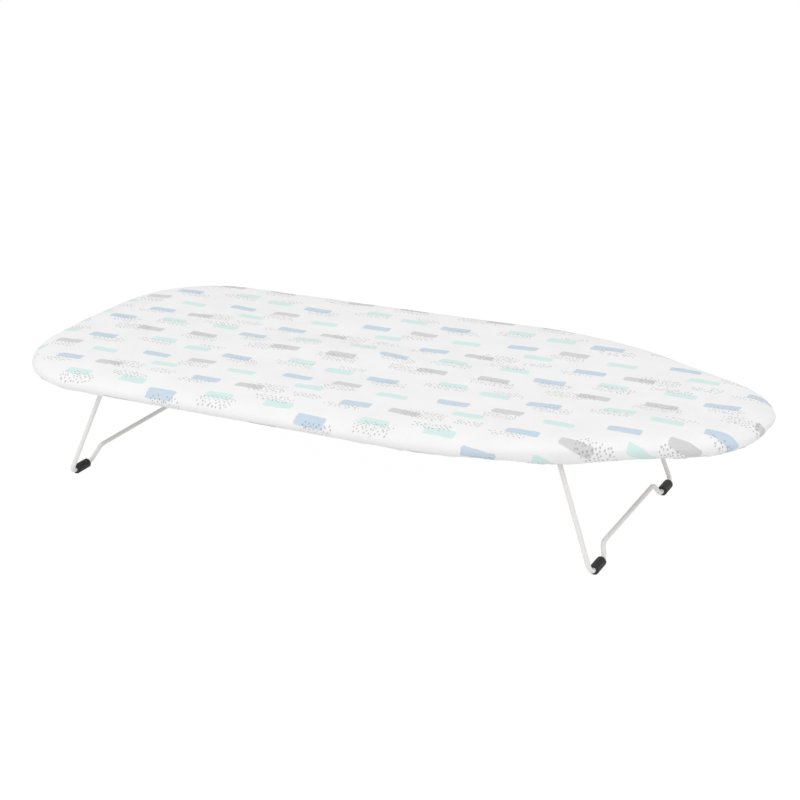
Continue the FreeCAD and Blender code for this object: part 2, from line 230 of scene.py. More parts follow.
def plan_outline(node, count):
    """A CAD node's outline from above: evenly spaced points from the rear's middle, and normals."""
    places = {(round(v.co.x, 6), round(v.co.y, 6)) for v in frame["nodes"][node].data.vertices}
    hull = convex_hull(sorted(places))
    dense = resample(hull, 8 * count)
    # a gentle blur takes the flats out of the hull's round stretches
    spread = OUTLINE_BLUR / (closed_length(hull) / len(dense))
    reach = int(3 * spread)
    offsets = np.arange(-reach, reach + 1)
    weights = np.exp(-0.5 * (offsets / spread) ** 2)
    weights /= weights.sum()
    blurred = sum(w * np.roll(dense, k, axis=0) for k, w in zip(offsets, weights))
    points = resample(blurred, count)
    tangent = np.roll(points, -1, axis=0) - np.roll(points, 1, axis=0)
    tangent /= np.linalg.norm(tangent, axis=1)[:, None]
    return points, np.column_stack([tangent[:, 1], -tangent[:, 0]])


def convex_hull(points):
    """Counter-clockwise hull of sorted (x, y) pairs."""
    def chain(sequence):
        kept = []
        for p in sequence:
            while len(kept) > 1 and turn(kept[-2], kept[-1], p) <= 1e-12:
                kept.pop()
            kept.append(p)
        return kept[:-1]

    return np.array(chain(points) + chain(points[::-1]))


def turn(a, b, c):
    return (b[0] - a[0]) * (c[1] - a[1]) - (b[1] - a[1]) * (c[0] - a[0])


def closed_length(points):
    return float(np.linalg.norm(np.roll(points, -1, axis=0) - points, axis=1).sum())


def resample(points, count):
    """Evenly spaced points along a closed line, from where it crosses the middle of the rear."""
    start = int(np.argmin(points[:, 0] + 1e-3 * np.abs(points[:, 1])))
    closed = np.roll(points, -start, axis=0)
    closed = np.vstack([closed, closed[:1]])
    run = np.concatenate([[0], np.cumsum(np.linalg.norm(np.diff(closed, axis=0), axis=1))])
    # shift the start to y = 0 on the rear edge
    back = np.interp(0, closed[:2, 1][::-1], run[:2][::-1]) if closed[0, 1] > closed[1, 1] else 0.0
    at = (np.arange(count) / count * run[-1] + back) % run[-1]
    return np.column_stack([np.interp(at, run, closed[:, k]) for k in (0, 1)])


def smooth_section(points, count):
    """Evenly spaced points along a smooth curve through the section's points."""
    p = np.array(points, float)
    ends = np.vstack([2 * p[0] - p[1], p, 2 * p[-1] - p[-2]])
    fine = []
    for i in range(1, len(ends) - 2):
        t = np.linspace(0, 1, 30, endpoint=False)[:, None]
        a, b, c, d = ends[i - 1:i + 3]
        fine.append(
            0.5 * (2 * b + (c - a) * t + (2 * a - 5 * b + 4 * c - d) * t ** 2
                   + (3 * b - a - 3 * c + d) * t ** 3)
        )
    fine = np.vstack(fine + [p[-1:]])
    run = np.concatenate([[0], np.cumsum(np.linalg.norm(np.diff(fine, axis=0), axis=1))])
    at = np.linspace(0, run[-1], count)
    return np.column_stack([np.interp(at, run, fine[:, k]) for k in (0, 1)])


def ring_faces(rings, around, closed_rings=False):
    """Quads between neighbouring rings of points, each ring being closed."""
    last = rings if closed_rings else rings - 1
    faces = []
    for r in range(last):
        below = (r + 1) % rings
        for i in range(around):
            j = (i + 1) % around
            faces.append((r * around + i, r * around + j, below * around + j, below * around + i))
    return faces


def make_object(name, points, faces, material=None):
    mesh = bpy.data.meshes.new(name)
    mesh.from_pydata([tuple(p) for p in points], [], faces)
    mesh.validate()
    mesh.update()
    mesh.shade_smooth()
    made = bpy.data.objects.new(name, mesh)
    bpy.context.scene.collection.objects.link(made)
    if material:
        mesh.materials.append(material)
    return made


def apply_modifiers(piece):
    graph = bpy.context.evaluated_depsgraph_get()
    mesh = bpy.data.meshes.new_from_object(piece.evaluated_get(graph))
    piece.modifiers.clear()
    piece.data = mesh


def rise(value, start, length):
    """0 up to start, 1 from start + length on, and smooth between."""
    t = np.clip((value - start) / length, 0, 1)
    return t * t * (3 - 2 * t)


def value_noise(points, size, seed):
    """Smooth noise, mostly between -1 and 1, made of a few seeded waves about size long."""
    rng = np.random.default_rng(seed)
    total = np.zeros(len(points))
    waves = 9
    for _ in range(waves):
        direction = rng.normal(size=points.shape[1])
        direction /= np.linalg.norm(direction)
        length = size * rng.uniform(0.7, 1.6)
        total += np.sin(points @ direction * 2 * math.pi / length + rng.uniform(0, 2 * math.pi))
    return total / math.sqrt(waves)


# ---- cloth cover ------------------------------------------------------------------------

OUTLINE, NORMALS = plan_outline("printed_cover", AROUND)


def ring_at(inset, height):
    """Points round the board, at insets from its outline and at heights."""
    flat = OUTLINE - NORMALS * np.broadcast_to(inset, AROUND)[:, None]
    return np.column_stack([flat, np.broadcast_to(height, AROUND)])


def bending():
    """How strongly the outline curves at each point, 1 being the nose."""
    turning = np.linalg.norm(np.roll(NORMALS, -1, axis=0) - np.roll(NORMALS, 1, axis=0), axis=1)
    reach = 12                # points on either side that are averaged
    padded = np.concatenate([turning[-reach:], turning, turning[:reach]])
    return np.convolve(padded, np.ones(2 * reach + 1) / (2 * reach + 1), "valid") / turning.max()


def edge_shape():
    """Insets, drops and run along the cloth for every ring of the edge and point round it."""
    left = smooth_section(LEFT_SECTION, EDGE_RINGS)
    right = smooth_section(RIGHT_SECTION, EDGE_RINGS)
    before_nose = 1 - rise(OUTLINE[:, 0], RIGHT_END, NOSE_BLEND)
    right_share = (0.5 - 0.5 * NORMALS[:, 1]) * before_nose
    blend = left[:, None, :] + (right - left)[:, None, :] * right_share[None, :, None]
    insets, drops = blend[:, :, 0] * MM, blend[:, :, 1] * MM
    # towards the nose the lower half of the edge tucks in and lifts, and by the right leg it sags
    x = OUTLINE[:, 0]
    nose = rise(x, NOSE_START, NOSE_BLEND)
    lower = rise(drops, LOWER_START, HALF_BLEND) * rise(HEM_FLAT - insets, 0, HALF_BLEND)
    by_leg = np.exp(-((x - SAG_PLACE) / SAG_REACH) ** 2) * (NORMALS[:, 1] < 0)
    plump = rise(x, 0, PLUMP_BLEND) * rise(NORMALS[:, 1], 0, FACING_BLEND)
    upper = 1 - rise(drops, UPPER_END, HALF_BLEND)
    insets = insets + NOSE_TUCK * nose * lower - LEFT_PLUMP * plump * upper
    drops = drops + (SAG_DEPTH * by_leg - NOSE_LIFT * nose) * lower
    steps = np.hypot(np.diff(insets, axis=0), np.diff(drops, axis=0))
    run = np.vstack([np.zeros(AROUND), np.cumsum(steps, axis=0)])
    return insets, drops, run


def edge_rings(insets, drops, share):
    """Start shape of the edge, with its hem gathered in waves along the elastic."""
    along = np.arange(AROUND) / AROUND * closed_length(OUTLINE)
    drift = 2.5 * np.sin(2 * math.pi * along / (12 * GATHER_PITCH))
    wave = np.sin(2 * math.pi * along / GATHER_PITCH + drift)
    depth = GATHER_DEPTH * (0.35 + 0.65 * bending())
    grow = np.clip((share - GATHER_START) / (1 - GATHER_START), 0, 1) ** 1.5
    return np.array([
        ring_at(inset, BOARD_TOP - drop + amount * depth * wave)
        for inset, drop, amount in zip(insets, drops, grow)
    ])


def relax_cloth(shape, pattern, insets, drops, share):
    """Cloth simulation of the edge: pinned on top and along the elastic, free between.

    Its rest shape is the flat cloth, which is longer at the hem than the line it is held to,
    so it settles in gathers. Their short folds are kept, on top of the drawn section.
    """
    rings = len(shape)
    strip = make_object("edge_simulation", shape.reshape(-1, 3), ring_faces(rings, AROUND))
    strip.shape_key_add(name="Basis")
    flat = strip.shape_key_add(name="flat")
    flat.data.foreach_set("co", pattern.reshape(-1).astype(np.float32))
    pins = strip.vertex_groups.new(name="pins")
    held = [i for r in (0, 1, 2, rings - 1) for i in range(r * AROUND, (r + 1) * AROUND)]
    pins.add(held, 1.0, "REPLACE")

    # the board and rim that the cloth lies on, a little inside it
    half = (BOARD_TOP - COVER_LOW.z) / 2
    core_rings = np.vstack([
        ring_at(inset + CORE_GAP, BOARD_TOP - drop - np.clip(half - drop, -CORE_GAP, CORE_GAP))
        for inset, drop in zip(insets[::2], drops[::2])
    ])
    core = make_object("edge_core", core_rings, ring_faces(len(insets[::2]), AROUND))
    core.modifiers.new("core", "COLLISION")
    core.collision.thickness_outer = CLOTH_CLEARANCE
    core.collision.cloth_friction = 8

    cloth = strip.modifiers.new("cloth", "CLOTH")
    cloth.settings.vertex_group_mass = "pins"
    cloth.settings.rest_shape_key = flat
    cloth.settings.quality = 6
    cloth.settings.mass = 0.15
    cloth.settings.tension_stiffness = 12
    cloth.settings.compression_stiffness = 12
    cloth.settings.shear_stiffness = 4
    cloth.settings.bending_stiffness = 0.4
    cloth.settings.air_damping = 4
    cloth.settings.effector_weights.gravity = 0
    cloth.collision_settings.distance_min = CLOTH_CLEARANCE
    cloth.collision_settings.use_self_collision = False
    cloth.point_cache.frame_end = SETTLE_FRAMES
    for number in range(1, SETTLE_FRAMES + 1):
        bpy.context.scene.frame_set(number)
    settled = np.zeros(rings * AROUND * 3, np.float32)
    graph = bpy.context.evaluated_depsgraph_get()
    strip.evaluated_get(graph).data.vertices.foreach_get("co", settled)
    bpy.data.objects.remove(strip)
    bpy.data.objects.remove(core)
    bpy.context.scene.frame_set(1)
    # slow drifts of the whole section are taken out again
    waves = np.fft.rfft(settled.reshape(rings, AROUND, 3) - shape, axis=1)
    waves[:, :int(closed_length(OUTLINE) / LONGEST_FOLD)] = 0
    folds = np.fft.irfft(waves, n=AROUND, axis=1)
    # they fade out towards the taut side and never rise into the rim
    folds[:, :, 2] = np.clip(folds[:, :, 2], -FOLD_CAP, RIM_GAP)
    folds[:, :, :2] = np.clip(folds[:, :, :2], -FOLD_CAP, FOLD_CAP)
    return shape + folds * np.clip((share - FOLD_START) / FOLD_BLEND, 0, 1)[:, None, None]


def printed_cover(material):
    """Cotton cover: flat top, rounded edge and gathered hem, one sheet with thickness."""
    insets, drops, run = edge_shape()
    share = run.mean(axis=1) / run[-1].mean()
    shape = edge_rings(insets, drops, share)
    pattern = np.array([ring_at(ROLL_START - length, BOARD_TOP) for length in run])
    shape = relax_cloth(shape, pattern, insets, drops, share)

    # the inside of the top: rings shrinking to the board's middle line
    start = shape[0]
    middle_x = np.clip(start[:, 0], COVER_LOW.x + HALF_WIDTH, COVER_HIGH.x - HALF_WIDTH / 2)
    middle_x = (middle_x + middle_x[-np.arange(AROUND) % AROUND]) / 2
    middle = np.column_stack([middle_x, np.zeros(AROUND), np.full(AROUND, BOARD_TOP)])
    inner = [start + (middle - start) * k / INNER_RINGS for k in range(INNER_RINGS, 0, -1)]

    points = np.vstack(inner + list(shape))
    points[:, 2] += unevenness(points)
    faces = ring_faces(len(points) // AROUND, AROUND)
    cover = make_object("printed_cover_cloth", points, faces, material)
    places = print_places(inner, run)
    place = cover.data.attributes.new("print_place", "FLOAT_VECTOR", "POINT")
    place.data.foreach_set("vector", places.astype(np.float32).ravel())
    weld = cover.modifiers.new("weld", "WELD")
    weld.merge_threshold = 0.02 * MM
    skin = cover.modifiers.new("skin", "SOLIDIFY")
    skin.thickness = CLOTH_THICKNESS
    skin.offset = -1
    apply_modifiers(cover)
    cover.data.shade_smooth()
    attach(cover, "board")
    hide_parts("printed_cover")
    return cover


def print_places(inner, run):
    """Where each point of the cover lies in the print, which is drawn longer round the edge."""
    x = OUTLINE[:, 0]
    pulled = np.maximum(run - (ROLL_START - PRINT_TURN), 0) * (1 - 1 / SIDE_STRETCH)
    right_side = (1 - rise(x, RIGHT_END, PRINT_BLEND)) * (NORMALS[:, 1] < -FACING_SIDE)
    past_turn = np.clip(run - (ROLL_START + HEM_GATHER_START), 0, HEM_GATHER_LENGTH)
    pulled -= HEM_GATHER * past_turn * right_side
    places = np.vstack(inner + [ring_at(ROLL_START - length, 0) for length in run - pulled])
    places[:, 2] = 0
    slipped = rise(-places[:, 1], SLIP_START, SLIP_BLEND)
    places[:, 1] += PRINT_SLIP * slipped * (1 - rise(places[:, 0], RIGHT_END, PRINT_BLEND))
    return places


def unevenness(points):
    """Swells and hollows of padded cloth; they fade out towards the edge."""
    x, y = points[:, 0], points[:, 1]
    flat = points[:, :2]
    broad = value_noise(flat, size=0.075, seed=3)
    small = value_noise(flat, size=0.04, seed=4)
    height = UNEVENNESS * (0.6 * broad + 0.4 * small)
    for middle_x, middle_y, length, width, swell in SWELLS:
        far = ((x - middle_x * MM) / (length * MM)) ** 2 + ((y - middle_y * MM) / (width * MM)) ** 2
        height += swell * MM * np.exp(-far)
    fade = 8 * MM
    return height * rise(points[:, 2], BOARD_TOP - fade, fade)


def surface_tree(piece):
    """For finding where a straight line meets a piece."""
    corners = [v.co for v in piece.data.vertices]
    return BVHTree.FromPolygons(corners, [tuple(p.vertices) for p in piece.data.polygons])


# ---- elastic, hem binding and stitching -------------------------------------------------

def tube(name, centres, radius, material, across, bulge, closed=True):
    """A tube round the board along centres; bulge(index, angle) swells its radius."""
    count = len(centres)
    if closed:
        ahead = np.roll(centres, -1, axis=0) - np.roll(centres, 1, axis=0)
    else:
        ahead = np.gradient(centres, axis=0)
    ahead /= np.linalg.norm(ahead, axis=1)[:, None]
    side = np.column_stack([ahead[:, 1], -ahead[:, 0], np.zeros(count)])
    side /= np.linalg.norm(side, axis=1)[:, None]
    up = np.cross(side, ahead)
    rings = []
    for k in range(across):
        angle = 2 * math.pi * k / across
        reach = radius * (1 + bulge(np.arange(count), angle))
        rings.append(centres + (side * math.cos(angle) + up * math.sin(angle)) * reach[:, None])
    faces = ring_faces(across, count, closed_rings=True)
    if not closed:
        # without the quads that would join the two ends
        faces = [f for f in faces if abs(f[0] - f[1]) == 1]
    return make_object(name, np.vstack(rings), faces, material)


def cord_path(count):
    """Evenly spaced points along the elastic, from the middle of the rear."""
    even = resample(OUTLINE - NORMALS * CORD_INSET, count)
    return np.column_stack([even, np.full(count, CORD_HEIGHT)])


def elastic_cord(material):
    """Braided elastic: small strands winding both ways."""
    turn_points = 14          # along the path, for one turn of a strand

    def braid(index, angle):
        winding = 2 * math.pi * index / turn_points
        strands = np.maximum(np.sin(3 * angle + winding), np.sin(3 * angle - winding))
        return 0.10 * (strands - 1)

    cord = tube("elastic_cord_braid", cord_path(2400), CORD_RADIUS, material, 14, braid)
    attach(cord, "board")
    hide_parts("elastic_cord")


def hem_binding(material):
    """Gathered cotton tunnel round the elastic, open for a short way at the rear."""
    count = 2000
    path = cord_path(count)
    gap = int(BINDING_GAP / 2 / (closed_length(path[:, :2]) / count))
    path = path[gap:count - gap]

    def gathers(index, angle):
        # short uneven puckers, and a slow twist
        wave = np.sin(index * 0.9 + 1.7 * np.sin(index * 0.037)) + 0.6 * np.sin(index * 0.41 + 2)
        twist = np.sin(index * 0.23 + 2 * angle)
        return 0.10 * wave * (1 + 0.4 * math.sin(angle + 1)) + 0.05 * twist

    binding = tube("hem_binding", path, BINDING_RADIUS, material, 12, gathers, closed=False)
    skin = binding.modifiers.new("skin", "SOLIDIFY")
    skin.thickness = 0.4 * MM
    skin.offset = -1
    apply_modifiers(binding)
    binding.data.shade_smooth()
    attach(binding, "board")


def hem_stitching(material, cover):
    """Row of stitches through the hem, lying on the cloth's lower side."""
    tree = surface_tree(cover)
    line = OUTLINE - NORMALS * (CORD_INSET - STITCH_SETBACK)
    count = int(closed_length(line) / STITCH_PITCH)
    marks = resample(line, 4 * count)
    points, faces = [], []
    sides = 6
    for k in range(count):
        spots = []
        for x, y in marks[4 * k:4 * k + 3]:
            hit = tree.ray_cast(Vector((x, y, 0)), Vector((0, 0, 1)))[0]
            if hit is not None:
                spots.append(np.array(hit))
        if len(spots) < 3 or np.ptp([s[2] for s in spots]) > STITCH_STEP:
            continue
        ahead = spots[2] - spots[0]
        side = np.array([ahead[1], -ahead[0], 0]) / math.hypot(ahead[0], ahead[1])
        base = len(points)
        for spot, thick in zip(spots, (0.55, 1.0, 0.55)):
            for m in range(sides):
                angle = 2 * math.pi * m / sides
                offset = side * math.cos(angle) + np.array([0, 0, math.sin(angle)])
                points.append(spot + offset * THREAD_RADIUS * thick)
        for ring in (0, 1):
            for m in range(sides):
                n = (m + 1) % sides
                a, b = base + ring * sides, base + (ring + 1) * sides
                faces.append((a + m, a + n, b + n, b + m))
        faces.append(tuple(base + m for m in reversed(range(sides))))
        faces.append(tuple(base + 2 * sides + m for m in range(sides)))
    stitches = make_object("hem_stitching", points, faces, material)
    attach(stitches, "board")


# ---- foam pad ---------------------------------------------------------------------------

def foam_pad(material, cover):
    """Foam under the cover: follows the cover above and swells into the sheet's openings below."""
    insets, drops, _ = edge_shape()
    # the pad ends where the cover has come down to just above its underside
    limit = BOARD_TOP - PAD_LOW.z - FOAM_EDGE - FOAM_GAP
    upper = EDGE_RINGS // 2
    rim_inset = np.array([
        np.interp(limit, drops[:upper, i], insets[:upper, i]) for i in range(AROUND)
    ])
    rim = (OUTLINE - NORMALS * rim_inset[:, None])[::2]
    step = FOAM_GRID
    xs = np.arange(PAD_LOW.x + step, PAD_HIGH.x, step)
    ys = np.arange(PAD_LOW.y + step, PAD_HIGH.y, step)
    grid = np.stack(np.meshgrid(xs, ys, indexing="ij"), axis=-1).reshape(-1, 2)
    grid = grid[inside_closed(rim, grid, margin=2 * MM)]
    flat, _, triangles, _, _, _ = delaunay_2d_cdt(
        [Vector(p) for p in np.vstack([rim, grid])], [], [list(range(len(rim)))], 1, 1e-6
    )

    cover_tree = surface_tree(cover)
    sheet_tree = surface_tree(frame["nodes"]["mesh_sheet"])
    above = BOARD_TOP + 20 * MM
    down = Vector((0, 0, -1))

    def is_open(x, y):
        return sheet_tree.ray_cast(Vector((x, y, PAD_HIGH.z)), down)[0] is None

    bottom, top = [], []
    for x, y in flat:
        beside = ((0, 0), (step / 2, 0), (-step / 2, 0), (0, step / 2), (0, -step / 2))
        openness = sum(is_open(x + a, y + b) for a, b in beside) / len(beside)
        swell = FOAM_SWELL * openness if is_open(x, y) else 0
        hit = cover_tree.ray_cast(Vector((x, y, above)), down)[0]
        ceiling = hit.z - FOAM_GAP if hit is not None else PAD_LOW.z + FOAM_EDGE
        bottom.append((x, y, PAD_LOW.z - swell))
        # never thinner than half the rim, nor much above the CAD pad
        top.append((x, y, min(PAD_HIGH.z + 1 * MM, max(ceiling, PAD_LOW.z + FOAM_EDGE / 2))))
    count = len(flat)
    uses = Counter(
        tuple(sorted(pair)) for tri in triangles for pair in zip(tri, tri[1:] + tri[:1])
    )
    faces = []
    for tri in triangles:
        faces.append(tuple(reversed(tri)))
        faces.append(tuple(i + count for i in tri))
        for a, b in zip(tri, tri[1:] + tri[:1]):
            if uses[tuple(sorted((a, b)))] == 1:
                faces.append((a, b, b + count, a + count))
    pad = make_object("foam_pad_slab", bottom + top, faces, material)
    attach(pad, "board")
    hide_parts("foam_pad")


def inside_closed(line, points, margin):
    """Which points are inside a convex closed line by at least margin."""
    tangent = np.roll(line, -1, axis=0) - line
    tangent /= np.linalg.norm(tangent, axis=1)[:, None]
    inward = np.column_stack([-tangent[:, 1], tangent[:, 0]])
    inside = np.ones(len(points), bool)
    for point, direction in zip(line, inward):
        inside &= (points - point) @ direction > margin
    return inside


# ---- materials --------------------------------------------------------------------------

class Shader:
    """One node material; each method adds a node and returns its output."""

    def __init__(self, name):
        self.material = bpy.data.materials.new(name)
        self.material.use_nodes = True
        self.tree = self.material.node_tree
        self.tree.nodes.clear()

    def node(self, kind, inputs=None, **settings):
        made = self.tree.nodes.new(kind)
        for key, value in settings.items():
            setattr(made, key, value)
        for key, value in (inputs or {}).items():
            self.feed(made.inputs[key], value)
        return made

    def feed(self, socket, value):
        if isinstance(value, bpy.types.NodeSocket):
            self.tree.links.new(value, socket)
        else:
            socket.default_value = value

    def math(self, operation, *values):
        return self.node("ShaderNodeMath", dict(enumerate(values)), operation=operation).outputs[0]

    def vector(self, operation, *values, out="Vector"):
        made = self.node("ShaderNodeVectorMath", dict(enumerate(values)), operation=operation)
        return made.outputs[out]

    def attribute(self, name):
        return self.node("ShaderNodeAttribute", attribute_name=name).outputs["Vector"]

    def object_place(self):
        return self.node("ShaderNodeTexCoord").outputs["Object"]

    def noise(self, place, scale, detail=2.0, roughness=0.5, out="Fac"):
        inputs = {"Vector": place, "Scale": scale, "Detail": detail, "Roughness": roughness}
        return self.node("ShaderNodeTexNoise", inputs).outputs[out]

    def ramp(self, value, low, high, to_low=0.0, to_high=1.0):
        inputs = {
            "Value": value, "From Min": low, "From Max": high, "To Min": to_low, "To Max": to_high,
        }
        return self.node("ShaderNodeMapRange", inputs).outputs["Result"]

    def mix(self, factor, first, second):
        return self.node(
            "ShaderNodeMix", {0: factor, 6: first, 7: second}, data_type="RGBA"
        ).outputs[2]

    def bump(self, height, distance, strength=1.0, normal=None):
        inputs = {"Height": height, "Distance": distance, "Strength": strength}
        if normal is not None:
            inputs["Normal"] = normal
        return self.node("ShaderNodeBump", inputs).outputs["Normal"]

    def surface(self, **inputs):
        names = {key.replace("_", " "): value for key, value in inputs.items()}
        body = self.node("ShaderNodeBsdfPrincipled", names)
        self.node("ShaderNodeOutputMaterial", {"Surface": body.outputs["BSDF"]})
        return self.material


def colour(red, green, blue):
    return (red, green, blue, 1.0)


def from_motif(shader, place, x, y):
    """Place measured from the nearest repeat of the motif at x, y (millimetres)."""
    half = (REPEAT[0] / 2, REPEAT[1] / 2, 0.5)
    minus_half = tuple(-h for h in half)
    local = shader.vector("SUBTRACT", place, (x * MM, y * MM, 0))
    return shader.vector("WRAP", local, half, minus_half)


def greatest(shader, values):
    best = values[0]
    for value in values[1:]:
        best = shader.math("MAXIMUM", best, value)
    return best


def dash_mask(shader, place, x, y, length, height):
    """1 inside one brush dash of every repeat, 0 outside."""
    local = from_motif(shader, place, x, y)
    box = ((length / 2 - DASH_CORNER) * MM, (height / 2 - DASH_CORNER) * MM, 1.0)
    outside = shader.vector("SUBTRACT", shader.vector("ABSOLUTE", local), box)
    outside = shader.vector("MAXIMUM", outside, (0, 0, 0))
    distance = shader.vector("LENGTH", outside, out="Value")
    return shader.ramp(distance, (DASH_CORNER + DASH_EDGE) * MM, (DASH_CORNER - DASH_EDGE) * MM)


def speckle_mask(shader, place):
    """Small round dots in staggered rows, kept only inside loose patches."""
    half_x, half_y = DOT_PITCH[0] / 2, DOT_PITCH[1] / 2
    split = shader.node("ShaderNodeSeparateXYZ", {"Vector": place})
    across = shader.math("DIVIDE", split.outputs["X"], 2 * half_x)
    along = shader.math("DIVIDE", split.outputs["Y"], 2 * half_y)
    cell = shader.node(
        "ShaderNodeCombineXYZ",
        {"X": shader.math("ADD", across, along), "Y": shader.math("SUBTRACT", across, along)},
    )
    dots = shader.node(
        "ShaderNodeTexVoronoi",
        {"Vector": cell.outputs["Vector"], "Scale": 1.0, "Randomness": DOT_SCATTER},
        voronoi_dimensions="2D",
    )
    chance = shader.node("ShaderNodeSeparateColor", {"Color": dots.outputs["Color"]})
    # back from the dots' own staggered cells to the cloth
    found = shader.node("ShaderNodeSeparateXYZ", {"Vector": dots.outputs["Position"]})
    total = shader.math("ADD", found.outputs["X"], found.outputs["Y"])
    apart = shader.math("SUBTRACT", found.outputs["X"], found.outputs["Y"])
    middle = shader.node(
        "ShaderNodeCombineXYZ",
        {"X": shader.math("MULTIPLY", total, half_x), "Y": shader.math("MULTIPLY", apart, half_y)},
    ).outputs["Vector"]
    gone = shader.vector("LENGTH", shader.vector("SUBTRACT", place, middle), out="Value")
    patches = []
    for x, y, length, height in SPECKLES:
        local = from_motif(shader, middle, x, y)
        local = shader.vector("DIVIDE", local, (length / 2 * MM, height / 2 * MM, 1))
        squared = shader.vector("MULTIPLY", local, local)
        near = shader.math("SUBTRACT", 1.0, shader.vector("LENGTH", squared, out="Value"))
        patches.append(near)
    # chance thins the dots out towards a patch's edge, and varies their size
    limit = shader.ramp(chance.outputs["Red"], 0, 1, -0.1, 0.28)
    kept = shader.math("GREATER_THAN", greatest(shader, patches), limit)
    radius = shader.ramp(chance.outputs["Green"], 0, 1, 0.8 * DOT_RADIUS, 1.15 * DOT_RADIUS)
    dot = shader.ramp(shader.math("SUBTRACT", gone, radius), DOT_EDGE, -DOT_EDGE)
    return shader.math("MULTIPLY", dot, kept)


def weave_height(shader, place, pitch):
    """Over-and-under height of a plain weave, from -1 to 1."""
    turns = 2 * math.pi / pitch
    split = shader.node("ShaderNodeSeparateXYZ", {"Vector": place})
    warp = shader.math("SINE", shader.math("MULTIPLY", split.outputs["X"], turns))
    weft = shader.math("SINE", shader.math("MULTIPLY", split.outputs["Y"], turns))
    return shader.math("MULTIPLY", warp, weft)


def brushed_place(shader, place):
    """Place shifted as a brush would: wandering edges, ragged short ends and a slight bow."""
    middle = (0.5, 0.5, 0.5)
    wander = shader.vector("SUBTRACT", shader.noise(place, 160, 2, out="Color"), middle)
    rough = shader.vector("MULTIPLY", place, (60, 900, 0))
    ragged = shader.vector("SUBTRACT", shader.noise(rough, 1.0, 1, out="Color"), middle)
    shifted = shader.vector("MULTIPLY_ADD", wander, (2.4 * MM, 2.0 * MM, 0), place)
    shifted = shader.vector("MULTIPLY_ADD", ragged, (3.0 * MM, 0, 0), shifted)
    split = shader.node("ShaderNodeSeparateXYZ", {"Vector": shifted})
    wave = shader.math("SINE", shader.math("MULTIPLY", split.outputs["X"], BOW_WAVES))
    bow = shader.node("ShaderNodeCombineXYZ", {"Y": shader.math("MULTIPLY", wave, DASH_BOW)})
    return shader.vector("ADD", shifted, bow.outputs["Vector"])


def printed_cotton():
    """White cotton with slubs and a plain weave, printed with brush dashes and small dots."""
    shader = Shader("printed_cotton")
    place = shader.attribute("print_place")
    brushed = brushed_place(shader, place)
    streaks = shader.noise(shader.vector("MULTIPLY", place, (70, 700, 0)), 1.0, 3, 0.6)
    cover_share = shader.ramp(streaks, 0.28, 0.5, 0.82, 1.0)
    slub = shader.noise(shader.vector("MULTIPLY", place, (500, 60, 0)), 1.0, 2)
    mottle = shader.noise(place, 28, 3)
    patchy = shader.ramp(mottle, 0.35, 0.65)
    base = shader.mix(patchy, colour(0.835, 0.835, 0.835), colour(0.86, 0.86, 0.858))
    base = shader.mix(shader.ramp(slub, 0.3, 0.7, 0, 0.25), base, colour(0.80, 0.80, 0.80))
    for ink, ink_colour in INKS.items():
        dashes = [dash_mask(shader, brushed, *dash[1:]) for dash in DASHES if dash[0] == ink]
        share = shader.math("MULTIPLY", greatest(shader, dashes), cover_share)
        base = shader.mix(share, base, colour(*ink_colour))
    dots = shader.math("MULTIPLY", speckle_mask(shader, place), DOT_COVER)
    base = shader.mix(dots, base, colour(*DOT_INK))
    normal = shader.bump(weave_height(shader, place, THREAD_PITCH), 0.035 * MM, 0.6)
    normal = shader.bump(slub, 0.05 * MM, 0.5, normal)
    return shader.surface(
        Base_Color=base, Roughness=shader.ramp(mottle, 0.3, 0.7, 0.82, 0.92),
        Sheen_Weight=0.12, Sheen_Roughness=0.4, Specular_IOR_Level=0.25, Normal=normal,
    )


def plain_cotton(name):
    """Unprinted cotton of the hem and its thread, with a coarse weave."""
    shader = Shader(name)
    place = shader.object_place()
    tone = shader.noise(place, 120, 3)
    base = shader.mix(tone, colour(0.74, 0.74, 0.735), colour(0.86, 0.86, 0.855))
    twill = shader.math("MULTIPLY", weave_height(shader, place, 0.7 * MM), 0.5)
    normal = shader.bump(shader.math("ADD", twill, shader.noise(place, 1500, 2)), 0.08 * MM, 0.6)
    roughness = shader.ramp(tone, 0.3, 0.7, 0.8, 0.92)
    return shader.surface(Base_Color=base, Roughness=roughness, Normal=normal)


def foam():
    """Cream open-cell foam, with painted shade darkening its pores."""
    shader = Shader("foam")
    place = shader.object_place()
    pores = shader.node("ShaderNodeTexVoronoi", {"Vector": place, "Scale": 900.0})
    cells = pores.outputs["Distance"]
    tone = shader.noise(place, 18, 3)
    base = shader.mix(tone, colour(0.80, 0.77, 0.68), colour(0.88, 0.86, 0.79))
    # painted shade: a darker colour in the pits of the pores, where the bump sinks
    base = shader.mix(shader.ramp(cells, 0.5, 0.1, 0, 0.3), base, colour(0.60, 0.57, 0.48))
    return shader.surface(Base_Color=base, Roughness=0.95, Normal=shader.bump(cells, 0.3 * MM, 0.7))


def braid_cloth():
    shader = Shader("elastic_braid")
    place = shader.object_place()
    tone = shader.noise(place, 700, 2)
    base = shader.mix(tone, colour(0.72, 0.72, 0.70), colour(0.86, 0.86, 0.84))
    return shader.surface(Base_Color=base, Roughness=0.85, Normal=shader.bump(tone, 0.1 * MM, 0.5))


